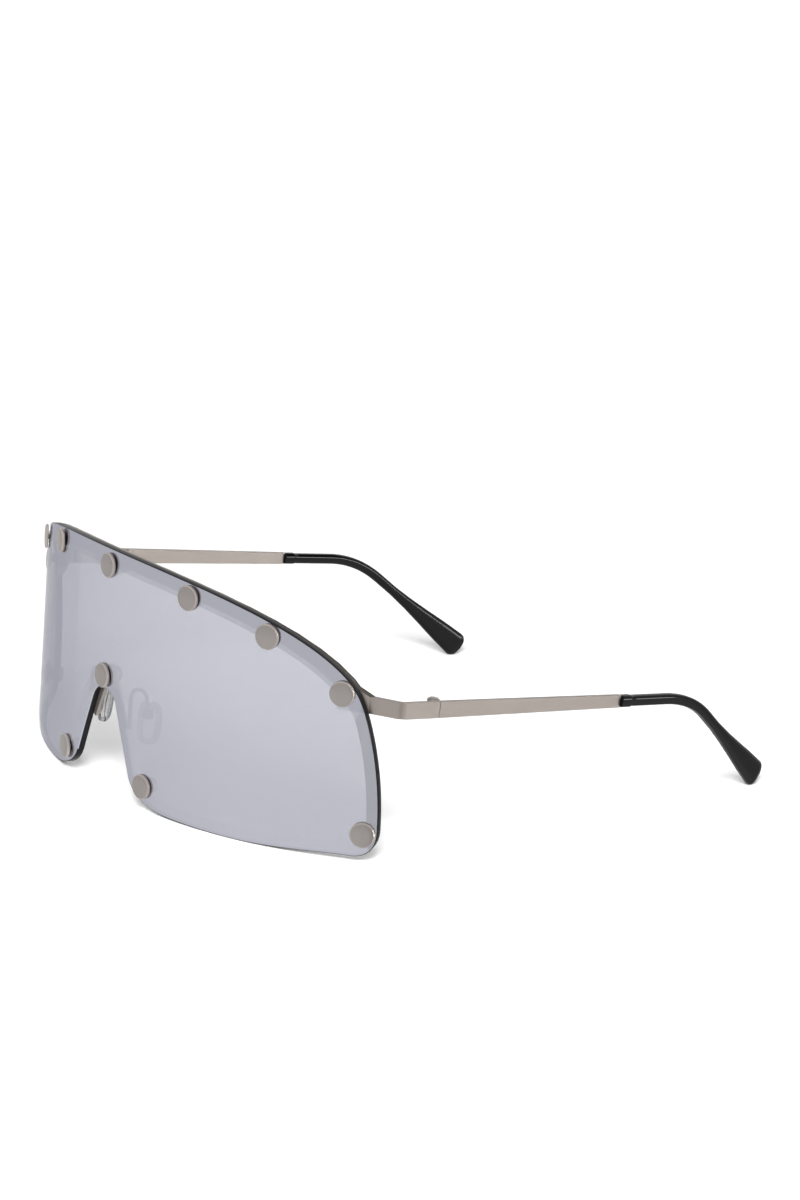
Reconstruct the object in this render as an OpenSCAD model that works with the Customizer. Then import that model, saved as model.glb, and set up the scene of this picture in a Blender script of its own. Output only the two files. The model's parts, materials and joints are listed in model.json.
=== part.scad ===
// Shield sunglasses: one wrapped lens, riveted to a brow bar, with folding temples.
// Every piece is drawn in the lens's own upright frame: x to the wearer's left, y to the rear,
// z up from the lens's lowest edge, and the front of the lens at y = 0. Places on the lens are
// given as [u, z], where u is the distance from the middle measured round the curve. The module
// stand() then tips the pair until the lens and both ear tips rest on z = 0.

/* [Lens] */
// Width of the lens, measured round its curve
lens_w = 163.2; // [150:0.2:176]
// Height of the lens
lens_h = 59.8; // [56:0.1:66]
// Thickness of the lens
lens_t = 2; // [1.5:0.1:2.5]
// Radius of the lens's front face
lens_r = 105.8; // [96:0.1:125]
// How far in from the side the upper corner starts
corner_in = 9.4; // [8:0.1:12]
// How far below the crown the upper corner starts
corner_drop = 16.8; // [14:0.1:19]
// How far in from the side the upper corner ends
shoulder_in = 4.7; // [3.8:0.1:5.6]
// How far below the crown the upper corner ends
shoulder_drop = 24.5; // [22.5:0.1:27]
// Height at which the side turns into the lower corner
foot_h = 7.6; // [6:0.1:9]
// Length that the lower corner takes up along the bottom
foot_in = 6; // [5:0.1:8]
// How far the lower corner ends above the resting edge
foot_lift = 1.5; // [0.8:0.1:2]
// Distance from the middle at which the lens rests
rest_u = 44; // [38:0.5:52]
// Width of the lowered border along the brow
border_brow = 4.3; // [3.5:0.1:5]
// Width of the lowered border along the sides
border_side = 2.7; // [2:0.1:3.4]
// Width of the lowered border along the bottom
border_base = 3.3; // [2.5:0.1:4]
// Width of the lowered border round the nose notch
border_nose = 3.6; // [3:0.1:4.2]
// Depth of the lowered border
border_d = 0.3; // [0.15:0.05:0.6]

/* [Nose notch] */
// Height of the notch
notch_h = 25.6; // [23:0.1:28]
// Half width of the notch at the top of its straight sides
notch_top_u = 5.5; // [4.8:0.1:6.5]
// How far below the notch's top its straight sides end
notch_top_drop = 3.8; // [3:0.1:5]
// Half width of the notch at the foot of its straight sides
notch_foot_u = 11.7; // [10.5:0.1:13]
// Height of the foot of the straight sides
notch_foot_z = 6.8; // [6:0.1:9]
// Distance from the middle at which a lobe meets the bottom edge
lobe_u = 24; // [22:0.5:28]
// How far a lobe meets the bottom edge above the resting edge
lobe_lift = 0.5; // [0.2:0.1:1]

/* [Studs] */
// Radius of a stud's head
head_r = 3; // [2.6:0.1:3.2]
// Height of a stud's head
head_h = 0.7; // [0.6:0.1:1.8]
// Chamfer round the face of a stud's head
head_chamfer = 0.25; // [0.1:0.05:0.5]
// Radius of a stud's shank
shank_r = 0.7; // [0.5:0.05:0.9]
// Wall of the clear bush that lines each lens hole
bush_wall = 0.4; // [0.25:0.05:0.6]
// Radius of the bush's flange
flange_r = 2.2; // [1.8:0.1:2.5]
// Thickness of the bush's flange
flange_t = 0.15; // [0.15:0.05:0.4]
// Radius of a back nut
nut_r = 1.9; // [1.5:0.1:2.2]
// Height of a back nut
nut_h = 1.3; // [1:0.1:1.8]
// How far the crown stud lies inside the lens's edge
stud_in = 4; // [3.6:0.1:4.6]
// How far a lower outer stud lies in from the side
foot_stud_in = 3.3; // [3:0.1:4.2]
// Height of a lower outer stud
foot_stud_z = 7.2; // [6:0.1:9]
// How far a lower inner stud lies outside the foot of the notch's straight sides
nose_stud_out = 6.1; // [5.5:0.1:7]
// Height of a lower inner stud
nose_stud_z = 5.9; // [5:0.1:7]
// Height of the bridge stud above the notch
bridge_stud_up = 3.15; // [2.8:0.05:4]

/* [Brow bar and end pieces] */
// Thickness of the bar, the end pieces and the temples
bar_t = 1.2; // [1:0.05:1.5]
// Height of the brow bar behind the lens
brow_h = 3.7; // [3:0.1:4.2]
// How far the brow bar's upper edge lies inside the lens's edge
brow_in = 0.3; // [0.1:0.05:0.5]
// Radius of the eyelets through which the studs pass
eyelet_r = 2.4; // [2.2:0.1:2.8]
// How far in from the lens's side the brow bar ends
bar_end_in = 4.5; // [3.4:0.1:6.4]
// Height of the end piece and of the temple at the hinge
bar_h = 3.9; // [3.4:0.05:4.4]
// Distance from the brow bar's end out to the bend in the end piece
end_out = 6.5; // [5:0.1:8]
// Distance from the brow bar's end back to the bend in the end piece
end_back = 3.8; // [2.8:0.1:5.4]
// Radius of the bend in the end piece, at the middle of its thickness
bend_r = 2.2; // [1.6:0.1:3]

/* [Temples] */
// Distance from the bend in the end piece back to the hinge
hinge_back = 10.6; // [9:0.1:14]
// How far below the crown the hinges lie
hinge_drop = 23.3; // [22:0.1:24.5]
// How far each temple turns inwards towards its end, in degrees
temple_in = 2.7; // [0:0.1:4]
// How far each temple slopes down towards its end, in degrees
temple_down = 4.7; // [3:0.1:8]
// Length of the metal that shows, from the hinge to the tip
temple_len = 56; // [50:0.1:75]
// Height of the temple at the tip
temple_end_h = 3.05; // [2.8:0.05:3.6]
// Length of the thinner core inside the tip
core_len = 12; // [8:0.1:13]
// Height of the core
core_h = 1.8; // [1.2:0.1:2]
// Thickness of the core
core_t = 1; // [0.7:0.05:1.2]

/* [Hinges] */
// Gap between the end piece and the temple
split = 0.1; // [0.06:0.02:0.2]
// Radius of the hinge knuckles
knuckle_r = 1.45; // [1.3:0.05:1.7]
// Height of the middle knuckle
knuckle_h = 1.3; // [1:0.05:1.6]
// Thickness of the hinge leaves
leaf_t = 0.7; // [0.5:0.05:0.9]
// Length of the hinge leaves
leaf_len = 6.5; // [5:0.1:7]
// Height of the hinge leaves
leaf_h = 3.2; // [2.6:0.1:3.4]
// Radius of the hinge screw
screw_r = 0.6; // [0.45:0.05:0.75]
// Radius of the hinge screw's head
screw_head_r = 0.95; // [0.9:0.05:1.3]
// Height of the hinge screw's head
screw_head_h = 0.25; // [0.25:0.05:0.6]

/* [Ear tips] */
// Distance from the tip's start to the corner of its bend
tip_straight = 23.5; // [20:0.1:26]
// Distance from the corner of the bend to the middle of the rounded end
tip_drop = 39.5; // [34:0.1:44]
// How far the tip bends down, in degrees
tip_bend = 34.1; // [28:0.1:40]
// How far the tip turns inwards, in degrees
tip_in = 11.2; // [0:0.1:14]
// Length on either side of the corner over which the tip bends
tip_cut = 8.6; // [6:0.1:9.5]
// Height of the tip at its start
tip_h = 2.65; // [2.4:0.05:3.3]
// Thickness of the tip
tip_t = 2.7; // [2.2:0.1:3.2]
// Height of the paddle at the tip's end
paddle_h = 6.8; // [5.5:0.1:7.5]
// Radius of the corners at the paddle's end
paddle_corner = 2.2; // [2:0.05:2.75]
// Length of the collar at the tip's start
collar_len = 3; // [2:0.1:4]
// How far the collar stands out
collar_step = 0.15; // [0.05:0.05:0.3]

/* [Nose pads] */
// Width of a pad
pad_w = 5.8; // [5.2:0.1:7.2]
// Height of a pad
pad_h = 10.4; // [9:0.1:12]
// Thickness of a pad
pad_t = 2.2; // [1.8:0.1:2.6]
// Half the distance between the middles of the pads
pad_x = 9.8; // [9.4:0.1:10.6]
// Distance of the pads behind the front of the lens
pad_y = 7.4; // [7:0.1:9]
// Height of the middle of the pads
pad_z = 18.9; // [17.5:0.1:20]
// How far the pads face the rear, in degrees
pad_splay = 40; // [25:1:45]
// How far the pads lean in at the top, in degrees
pad_lean = 7; // [3:1:12]
// Distance of the pad's pivot above its middle
pivot_up = 2.6; // [2:0.1:3]
// Distance of the pad's pivot behind its back face
pivot_out = 1.1; // [1:0.05:1.4]
// Radius of the wire of the pad arms
wire_r = 0.5; // [0.4:0.05:0.6]
// Thickness of the nose bracket
bracket_t = 0.8; // [0.6:0.05:1]
// Width of the legs of the nose bracket
bracket_w = 1.5; // [1.2:0.1:2]
// Height of the lower ends of the bracket's legs
bracket_foot_z = 16.8; // [15:0.1:18]

/* [Hidden] */

nickel = "#a89f98";
smoke = "#c4c4ce";
black = "#222224";
clear = "#dfe3e6";

// Clearance of a plain fit, the seat under parts that lie on a curved face, and an overrun
fit = 0.03;
seat = 0.05;
overrun = 1;
round_faces = 64;

// Outline of the lens
// Each knot holds its place, the heading of the edge there in degrees, the reach of the curve
// before and after it as shares of the distance to its neighbour, the width of the border
// and the number of steps to the next knot.
half_u = lens_w / 2;
notch_top = [notch_top_u, notch_h - notch_top_drop];
notch_foot = [notch_foot_u, notch_foot_z];
notch_side = notch_top - notch_foot;
notch_heading = atan2(notch_side.y, notch_side.x);
knots = [
    [[0, lens_h], 0, 0, 0.46, border_brow, 10],
    [[half_u - corner_in, lens_h - corner_drop], -42.5, 0.215, 0.32, border_brow, 4],
    [[half_u - shoulder_in, lens_h - shoulder_drop], -70, 0.32, 0.3, border_side, 6],
    [[half_u, foot_h], -90, 0.36, 0.45, border_side, 5],
    [[half_u - foot_in, foot_lift], 180, 0.42, 0.3, border_base, 6],
    [[rest_u, 0], 180, 0.41, 0.4, border_base, 3],
    [[lobe_u, lobe_lift], 175, 0.2, 0.47, border_base, 6],
    [notch_foot, notch_heading, 0.26, 0.33, border_nose, 1],
    [notch_top, notch_heading, 0.33, 0.47, border_nose, 5],
    [[0, notch_h], 180, 0.39, 0, border_nose, 0]];
brow_seg = 0;
foot_seg = 3;
last_seg = len(knots) - 2;

function heading(a) = [cos(a), sin(a)];
function control(i) = let (a = knots[i], b = knots[i + 1], d = norm(b[0] - a[0]))
    [a[0], a[0] + a[3] * d * heading(a[1]), b[0] - b[2] * d * heading(b[1]), b[0]];
function bezier(c, t) = pow(1 - t, 3) * c[0] + 3 * pow(1 - t, 2) * t * c[1]
    + 3 * (1 - t) * t * t * c[2] + pow(t, 3) * c[3];
function along(c, t) = let (d = pow(1 - t, 2) * (c[1] - c[0]) + 2 * (1 - t) * t * (c[2] - c[1])
    + t * t * (c[3] - c[2])) d / norm(d);
function edge(i, t, inset) = let (c = control(i), d = along(c, t))
    bezier(c, t) + inset * [d.y, -d.x];
function border(i, t) = (1 - t) * knots[i][4] + t * knots[i + 1][4];
function steps(i) = knots[i][5];
// Points of the right half of the outline from segment i to segment j, moved in by the inset
function run(i, j, inset) = [
    for (k = [i:j]) for (s = [0:steps(k) - (k == j ? 0 : 1)]) edge(k, s / steps(k), inset)];
function border_run() = [
    for (k = [0:last_seg]) for (s = [0:steps(k) - (k == last_seg ? 0 : 1)])
        edge(k, s / steps(k), border(k, s / steps(k)))];

// From a place on the curve to its turn about the lens's axis, and to x at a given radius
function turn(u) = u / lens_r * 180 / PI;
function flat(points, r) = [for (p = points) [r * sin(turn(p.x)), p.y]];
function other_side(points) = [for (k = [len(points) - 1:-1:0]) [-points[k].x, points[k].y]];
function both(points) = concat(points, other_side(points));
function depth(x, r) = lens_r - sqrt(r * r - x * x);

// Radii of the layers behind the lens
back_r = lens_r - lens_t;
bar_r = back_r - seat;
bar_back_r = bar_r - bar_t;
bracket_r = back_r - seat;
bracket_back_r = bracket_r - bracket_t;
wrap_depth = lens_r * (1 - cos(turn(half_u))) + 2 * lens_t + bar_t;

// The lens is cut roughly this far outside its edge, then trimmed square to its faces
trim_room = 1.5;
trim_lap = 1.5;
trim_deep = 3 * lens_t;

// Places of the studs
brow_stud_shares = [0, 0.315, 0.62, 0.2];
brow_stud_in_shares = [1, 0.85, 0.8, 0.74];
function brow_stud(k) = edge(k < 3 ? brow_seg : brow_seg + 1, brow_stud_shares[k],
    stud_in * brow_stud_in_shares[k]);
side_brow_places = [for (k = [1:3]) brow_stud(k)];
brow_places = concat([brow_stud(0)], side_brow_places, other_side(side_brow_places));
side_low_places = [[half_u - foot_stud_in, foot_stud_z],
    [notch_foot_u + nose_stud_out, nose_stud_z]];
low_places = concat(side_low_places, other_side(side_low_places));
bridge_place = [0, notch_h + bridge_stud_up];
brow_stack = lens_t + seat + bar_t + seat;
bridge_stack = lens_t + seat + bracket_t + seat;
low_stack = lens_t + seat;
nut_grip_share = 0.8;
bush_r = shank_r + fit + bush_wall;

// End piece: it runs from the brow bar's end to a bend and from there in the temple's line
bar_end_x = bar_r * sin(turn(half_u - bar_end_in));
bar_end = [bar_end_x, depth(bar_end_x, (bar_r + bar_back_r) / 2)];
temple_turn = 90 + temple_in;
bend_corner = bar_end + [end_out, end_back];
end_turn = atan2(end_back, end_out);
hinge_x = bend_corner.x - hinge_back * tan(temple_in);
hinge_y = bend_corner.y + hinge_back;
hinge_z = lens_h - hinge_drop;
temple_line = [hinge_x, hinge_y];
bend_back = bend_r * tan((temple_turn - end_turn) / 2);
bend_middle = bend_corner - bend_back * heading(end_turn) + bend_r * heading(end_turn + 90);
bend_steps = 6;
function bend_side(r) = [for (k = [0:bend_steps])
    let (a = end_turn + (temple_turn - end_turn) * k / bend_steps)
        bend_middle + r * heading(a - 90)];
end_z = hinge_z + hinge_back * tan(temple_down);
end_low = end_z - bar_h / 2 / cos(temple_down);
end_high = end_z + bar_h / 2 / cos(temple_down);

// Hinge: its axis lies inside the bar, clear of the knuckles
knuckle_gap = 0.06;
leaf_clear = 0.12;
hinge_off = bar_t / 2 + knuckle_r + leaf_clear;
hinge_at = [hinge_x, hinge_y, hinge_z]
    - hinge_off * [cos(temple_in), sin(temple_in), 0];
leaf_x = knuckle_r + leaf_clear - seat - leaf_t;
pin_play = 0.05;

// Ear tip, in the hinge's frame, where y runs down the temple
tip_start = [hinge_off, temple_len + fit, 0];
tip_corner = [hinge_off, temple_len + tip_straight, 0];
tip_way = [-sin(tip_in) * cos(tip_bend), cos(tip_in) * cos(tip_bend), -sin(tip_bend)];
tip_end = tip_corner + tip_drop * tip_way;
in_way = [0, 1, 0];
cut_in = tip_corner - tip_cut * in_way;
cut_out = tip_corner + tip_cut * tip_way;
tip_normal = [0, 0, 1] - tip_way.z * tip_way;
tip_foot = tip_end - (paddle_h / 2 - paddle_corner) * tip_normal / norm(tip_normal);

// Rest: the pair tips until the lens's lowest edge and the lower corners of the tips are level
function to_front(p) = let (y = p.y * cos(temple_down) + p.z * sin(temple_down),
        z = p.z * cos(temple_down) - p.y * sin(temple_down))
    hinge_at + [p.x * cos(temple_in) - y * sin(temple_in),
        p.x * sin(temple_in) + y * cos(temple_in), z];
tip_rest = to_front(tip_foot);
lens_rest_y = lens_r - back_r * cos(turn(rest_u));
rest_span = [tip_rest.y - lens_rest_y, tip_rest.z];
rest_tip = atan2(rest_span.y, rest_span.x) - asin(paddle_corner / norm(rest_span));
base_points = run(foot_seg, last_seg, 0);
function tipped_z(y, z) = z * cos(rest_tip) - y * sin(rest_tip);
function tipped_y(y, z) = y * cos(rest_tip) + z * sin(rest_tip);
lift = -min([for (p = base_points) for (r = [lens_r, back_r])
    tipped_z(lens_r - r * cos(turn(p.x)), p.y)]);
head_front = -(seat + flange_t + head_h);
front_y = tipped_y(head_front, bridge_place.y - head_r + head_chamfer);
tip_rear = to_front(2 * tip_end - tip_foot);
rear_y = tipped_y(tip_rear.y, tip_rear.z) + paddle_corner;

// Nose pads, in the frame of the pad's pivot: x away from the nose, y to the rear
pad_out = pad_t / 2 + pivot_out;
pad_hub = [pad_x, pad_y, pad_z];
function pad_vector(p) = let (x = p.x * cos(pad_lean) - p.z * sin(pad_lean),
        z = p.x * sin(pad_lean) + p.z * cos(pad_lean))
    [x * cos(pad_splay) + p.y * sin(pad_splay), p.y * cos(pad_splay) - x * sin(pad_splay), z];
pad_pivot = pad_hub + pad_vector([pad_out, 0, pivot_up]);
lug_t = 1.2;
lug_r = 0.8;
pad_screw_r = 0.35;
pad_screw_head_r = 0.65;
pad_screw_head_h = 0.3;
cheek_t = 0.5;
cheek_gap = 0.08;
cheek_front = 0.5;
box_back = 1;
box_back_t = 0.5;
box_h = 2.4;
box_w = lug_t + 2 * (cheek_gap + cheek_t);

// Pad arm: a wire up the bracket's leg, over a half loop and down to the box
arm_foot_share = 0.6;
arm_foot_x = notch_foot_u * arm_foot_share;
arm_foot = [arm_foot_x, depth(arm_foot_x, bracket_back_r) + wire_r + fit];
arm_gap = (wire_r + fit) / cos(pad_lean) + box_h / 2 * tan(pad_lean);
arm_end = pad_pivot + pad_vector([box_back + box_back_t + arm_gap, 0, 0]);
arm_way = [arm_end.x, arm_end.y] - arm_foot;
arm_loop_r = norm(arm_way) / 2;
arm_top = arm_end.z + box_h;
arm_turn = atan2(arm_way.y, arm_way.x);

module stand() {
    translate([0, -(front_y + rear_y) / 2, lift]) rotate([-rest_tip, 0, 0]) children();
}
// Right-hand pieces are the left-hand ones mirrored
module sided(left) {
    if (left) children(); else mirror([1, 0, 0]) children();
}
module across(points, y0, y1) {
    translate([0, y1, 0]) rotate([90, 0, 0]) linear_extrude(height = y1 - y0) polygon(points);
}
module lens_shell(outer, inner) {
    translate([0, lens_r, -overrun]) difference() {
        cylinder(r = outer, h = lens_h + 2 * overrun, $fn = round_faces);
        translate([0, 0, -overrun])
            cylinder(r = inner, h = lens_h + 4 * overrun, $fn = round_faces);
    }
}
module on_lens(place) {
    translate([0, lens_r, place.y]) rotate([0, 0, turn(place.x)])
        translate([0, -lens_r, 0]) rotate([90, 0, 0]) children();
}
// What lies just beyond the chord from p to q, cut square to the lens
module beyond(p, q) {
    middle = (p + q) / 2;
    chord = [2 * lens_r * sin(turn(q.x - p.x) / 2), q.y - p.y];
    lie = lens_r * cos(turn(q.x - p.x) / 2);
    translate([0, lens_r, middle.y]) rotate([0, 0, turn(middle.x)]) translate([0, -lie, 0])
        rotate([0, -atan2(chord.y, chord.x), 0])
            translate([-norm(chord) / 2 - trim_lap, -trim_lap, 0])
                cube([norm(chord) + 2 * trim_lap, lens_t + 2 * trim_lap, trim_deep]);
}

module shield_lens() color(smoke) stand() difference() {
    rough = run(brow_seg, foot_seg, -trim_room);
    square = run(brow_seg, foot_seg, 0);
    base = run(foot_seg + 1, last_seg, 0);
    intersection() {
        lens_shell(lens_r, back_r);
        across(both(flat(concat(rough, base), lens_r)), -overrun, wrap_depth + overrun);
    }
    for (side = [true, false]) sided(side)
        for (k = [0:len(square) - 2]) beyond(square[k], square[k + 1]);
    difference() {
        lens_shell(lens_r + overrun, lens_r - border_d);
        across(both(flat(border_run(), lens_r)), -2 * overrun, wrap_depth + 2 * overrun);
    }
    for (p = concat(brow_places, low_places, [bridge_place])) on_lens(p)
        translate([0, 0, -lens_t - overrun])
            cylinder(r = bush_r + fit, h = lens_t + 2 * overrun, $fn = round_faces);
}

module brow_bar() color(nickel) stand() difference() {
    upper = [for (p = flat(run(brow_seg, brow_seg + 1, brow_in), bar_r))
        if (p.x < bar_end_x && p.y > end_high) p];
    lower = [for (p = flat(run(brow_seg, brow_seg, brow_in + brow_h), bar_r))
        if (p.x < upper[len(upper) - 1].x && p.y > end_high) p];
    plate = [[bar_end_x, end_high], [bar_end_x, end_low],
        [lower[len(lower) - 1].x, end_low]];
    half = concat(upper, plate, [for (k = [len(lower) - 1:-1:0]) lower[k]]);
    intersection() {
        lens_shell(bar_r, bar_back_r);
        union() {
            for (side = [true, false]) sided(side) across(half, 0, wrap_depth);
            for (p = brow_places) on_lens(p) translate([0, 0, -brow_stack - overrun])
                cylinder(r = eyelet_r, h = brow_stack, $fn = round_faces);
        }
    }
    for (p = brow_places) on_lens(p) translate([0, 0, -brow_stack - overrun])
        cylinder(r = shank_r + fit, h = brow_stack + overrun, $fn = round_faces);
}

module end_piece(left) color(nickel) stand() sided(left) {
    outer = concat([[bar_end_x, depth(bar_end_x, bar_r)]], bend_side(bend_r + bar_t / 2),
        [temple_line + bar_t / 2 * heading(temple_in)]);
    inner = concat([[bar_end_x, depth(bar_end_x, bar_back_r)]], bend_side(bend_r - bar_t / 2),
        [temple_line - bar_t / 2 * heading(temple_in)]);
    plan = concat(outer, [for (k = [len(inner) - 1:-1:0]) inner[k]]);
    down = [sin(temple_down), cos(temple_down)];
    stop = [hinge_y, hinge_z] - split / 2 * [cos(temple_down), -sin(temple_down)];
    side = [[0, end_low], [bend_corner.y, end_low], stop - bar_h / 2 * down,
        stop + bar_h / 2 * down, [bend_corner.y, end_high], [0, end_high]];
    intersection() {
        linear_extrude(height = lens_h) polygon(plan);
        rotate([90, 0, 90]) linear_extrude(height = lens_w) polygon(side);
    }
}

module at_hinge(left) {
    stand() sided(left) translate(hinge_at) rotate([0, 0, temple_in])
        rotate([-temple_down, 0, 0]) children();
}
// A knuckle from z0 to z1 with the arm that joins it to its leaf, towards y = way
module knuckle(z0, z1, way) {
    difference() {
        union() {
            translate([0, 0, z0]) cylinder(r = knuckle_r, h = z1 - z0, $fn = round_faces);
            arm = knuckle_r + 2 * leaf_clear;
            translate([leaf_x, way < 0 ? -arm : 0, z0])
                cube([knuckle_r - leaf_x, arm, z1 - z0]);
        }
        translate([0, 0, z0 - overrun])
            cylinder(r = screw_r + pin_play, h = z1 - z0 + 2 * overrun, $fn = round_faces);
    }
}
module leaf(way) {
    start = knuckle_r + leaf_clear;
    translate([leaf_x, way < 0 ? -start - leaf_len : start, -leaf_h / 2])
        cube([leaf_t, leaf_len, leaf_h]);
}
module hinge_front(left) color(nickel) at_hinge(left) {
    half = knuckle_h / 2 + knuckle_gap;
    knuckle(half, bar_h / 2, -1);
    knuckle(-bar_h / 2, -half, -1);
    leaf(-1);
}
module hinge_temple(left) color(nickel) at_hinge(left) {
    knuckle(-knuckle_h / 2, knuckle_h / 2, 1);
    leaf(1);
}
module hinge_screw(left) color(nickel) at_hinge(left) {
    translate([0, 0, -bar_h / 2])
        cylinder(r = screw_r, h = bar_h + seat + screw_head_h / 4, $fn = round_faces);
    translate([0, 0, bar_h / 2 + seat]) difference() {
        cylinder(r = screw_head_r, h = screw_head_h, $fn = round_faces);
        translate([-screw_head_r - overrun, -screw_head_h / 4, screw_head_h / 2])
            cube([2 * (screw_head_r + overrun), screw_head_h / 2, screw_head_h]);
    }
}
module temple(left) color(nickel) at_hinge(left) {
    side = [[split / 2, -bar_h / 2], [temple_len, -temple_end_h / 2],
        [temple_len, temple_end_h / 2], [split / 2, bar_h / 2]];
    translate([hinge_off - bar_t / 2, 0, 0]) rotate([90, 0, 90])
        linear_extrude(height = bar_t) polygon(side);
    translate([hinge_off - core_t / 2, temple_len - fit, -core_h / 2])
        cube([core_t, core_len + fit, core_h]);
}

// Ear tip: rings swept down a straight, a bend and a straight, then closed by a round end.
// The first two rings make the collar.
straight_stops = [0, collar_len, collar_len + collar_step, (tip_straight - tip_cut) / 2,
    tip_straight - tip_cut];
bend_from = len(straight_stops) - 1;
bend_to = bend_from + 8;
round_from = bend_to + 10;
tip_rings = round_from + 6;
sides = 16;
// How round the tip's section is, and how much of its thickness the rounded end loses
tip_oval_share = 0.7;
end_thinning_share = 0.75;
// How much of its widening the drop has reached, as shares, at equal steps down to the paddle
swell_shares = [0, 0, 0.17, 0.45, 0.77, 1];
function swell(t) = let (n = len(swell_shares) - 1, k = min(floor(t * n), n - 1))
    swell_shares[k] + (t * n - k) * (swell_shares[k + 1] - swell_shares[k]);
function bend_part(k) = min(1, max(0, (k - bend_from) / (bend_to - bend_from)));
function drop_part(k) = min(1, max(0, (k - bend_to) / (round_from - bend_to)));
function round_turn(k) = 90 * max(0, k - round_from) / (tip_rings - round_from);
function tip_point(k) = k < bend_from ? tip_start + straight_stops[k] * in_way
    : k < bend_to ? let (t = bend_part(k))
        pow(1 - t, 2) * cut_in + 2 * (1 - t) * t * tip_corner + t * t * cut_out
    : cut_out + drop_part(k) * (tip_end - cut_out)
        + paddle_corner * sin(round_turn(k)) * tip_way;
function tip_heading(k) = let (d = (1 - bend_part(k)) * in_way + bend_part(k) * tip_way)
    d / norm(d);
function ring_size(k) = let (grip = k < 2 ? 2 * collar_step : 0)
    [(tip_t + grip) * sqrt(1 - end_thinning_share * pow(sin(round_turn(k)), 2)),
        tip_h + grip + (paddle_h - tip_h) * swell(drop_part(k))
            - 2 * paddle_corner * (1 - cos(round_turn(k)))];
function ring(k) = let (d = tip_heading(k), up = [0, 0, 1] - d.z * d, n = up / norm(up),
        b = cross(d, n), s = ring_size(k))
    [for (j = [0:sides - 1]) let (a = 360 * j / sides, c = cos(a), v = sin(a))
        tip_point(k) + s[0] / 2 * sign(c) * pow(abs(c), tip_oval_share) * b
            + s[1] / 2 * sign(v) * pow(abs(v), tip_oval_share) * n];
module temple_tip(left) color(black) at_hinge(left) difference() {
    points = [for (k = [0:tip_rings]) each ring(k)];
    tail = tip_rings * sides;
    faces = concat(
        [[for (j = [0:sides - 1]) j]],
        [for (k = [0:tip_rings - 1]) for (j = [0:sides - 1]) let (m = (j + 1) % sides)
            [k * sides + j, (k + 1) * sides + j, (k + 1) * sides + m, k * sides + m]],
        [[for (j = [sides - 1:-1:0]) tail + j]]);
    polyhedron(points = points, faces = faces, convexity = 6);
    translate([hinge_off - core_t / 2 - fit, temple_len - overrun, -core_h / 2 - fit])
        cube([core_t + 2 * fit, core_len + overrun + 2 * fit, core_h + 2 * fit]);
}

module stud(stack) {
    rotate_extrude($fn = round_faces) polygon([[0, -stack - nut_h * nut_grip_share],
        [shank_r, -stack - nut_h * nut_grip_share], [shank_r, seat + flange_t],
        [head_r, seat + flange_t], [head_r, -head_front - head_chamfer],
        [head_r - head_chamfer, -head_front], [0, -head_front]]);
}
module top_studs() color(nickel) stand() for (p = brow_places) on_lens(p) stud(brow_stack);
module lower_studs() color(nickel) stand() for (p = low_places) on_lens(p) stud(low_stack);
module bridge_stud() color(nickel) stand() on_lens(bridge_place) stud(bridge_stack);
module lens_bushes() color(clear) stand()
    for (p = concat(brow_places, low_places, [bridge_place])) on_lens(p)
        rotate_extrude($fn = round_faces) polygon([[shank_r + fit, -lens_t + seat],
            [bush_r, -lens_t + seat], [bush_r, seat], [flange_r, seat],
            [flange_r, seat + flange_t - fit], [shank_r + fit, seat + flange_t - fit]]);
module nut(stack) {
    rotate_extrude($fn = round_faces) polygon([[shank_r + fit, -stack], [nut_r, -stack],
        [nut_r, -stack - nut_h + head_chamfer], [nut_r - head_chamfer, -stack - nut_h],
        [shank_r + fit, -stack - nut_h]]);
}
module back_nuts() color(nickel) stand() {
    for (p = brow_places) on_lens(p) nut(brow_stack);
    for (p = low_places) on_lens(p) nut(low_stack);
    on_lens(bridge_place) nut(bridge_stack);
}

// Nose bracket: an eyelet behind the bridge stud with a leg down each side of the notch
leg_head_share = 0.45;
module nose_bracket() color(nickel) stand() difference() {
    foot = [arm_foot.x, bracket_foot_z];
    head = [notch_top_u * leg_head_share, bridge_place.y - eyelet_r];
    leg = (foot - head) / norm(foot - head);
    half = bracket_w / 2 * [-leg.y, leg.x];
    intersection() {
        lens_shell(bracket_r, bracket_back_r);
        union() {
            on_lens(bridge_place) translate([0, 0, -bridge_stack - overrun])
                cylinder(r = eyelet_r, h = bridge_stack, $fn = round_faces);
            for (side = [true, false]) sided(side) across([head - leg * bracket_w - half,
                foot - half, foot + half, head - leg * bracket_w + half], 0, wrap_depth);
        }
    }
    on_lens(bridge_place) translate([0, 0, -bridge_stack - overrun])
        cylinder(r = shank_r + fit, h = bridge_stack + overrun, $fn = round_faces);
}

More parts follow.
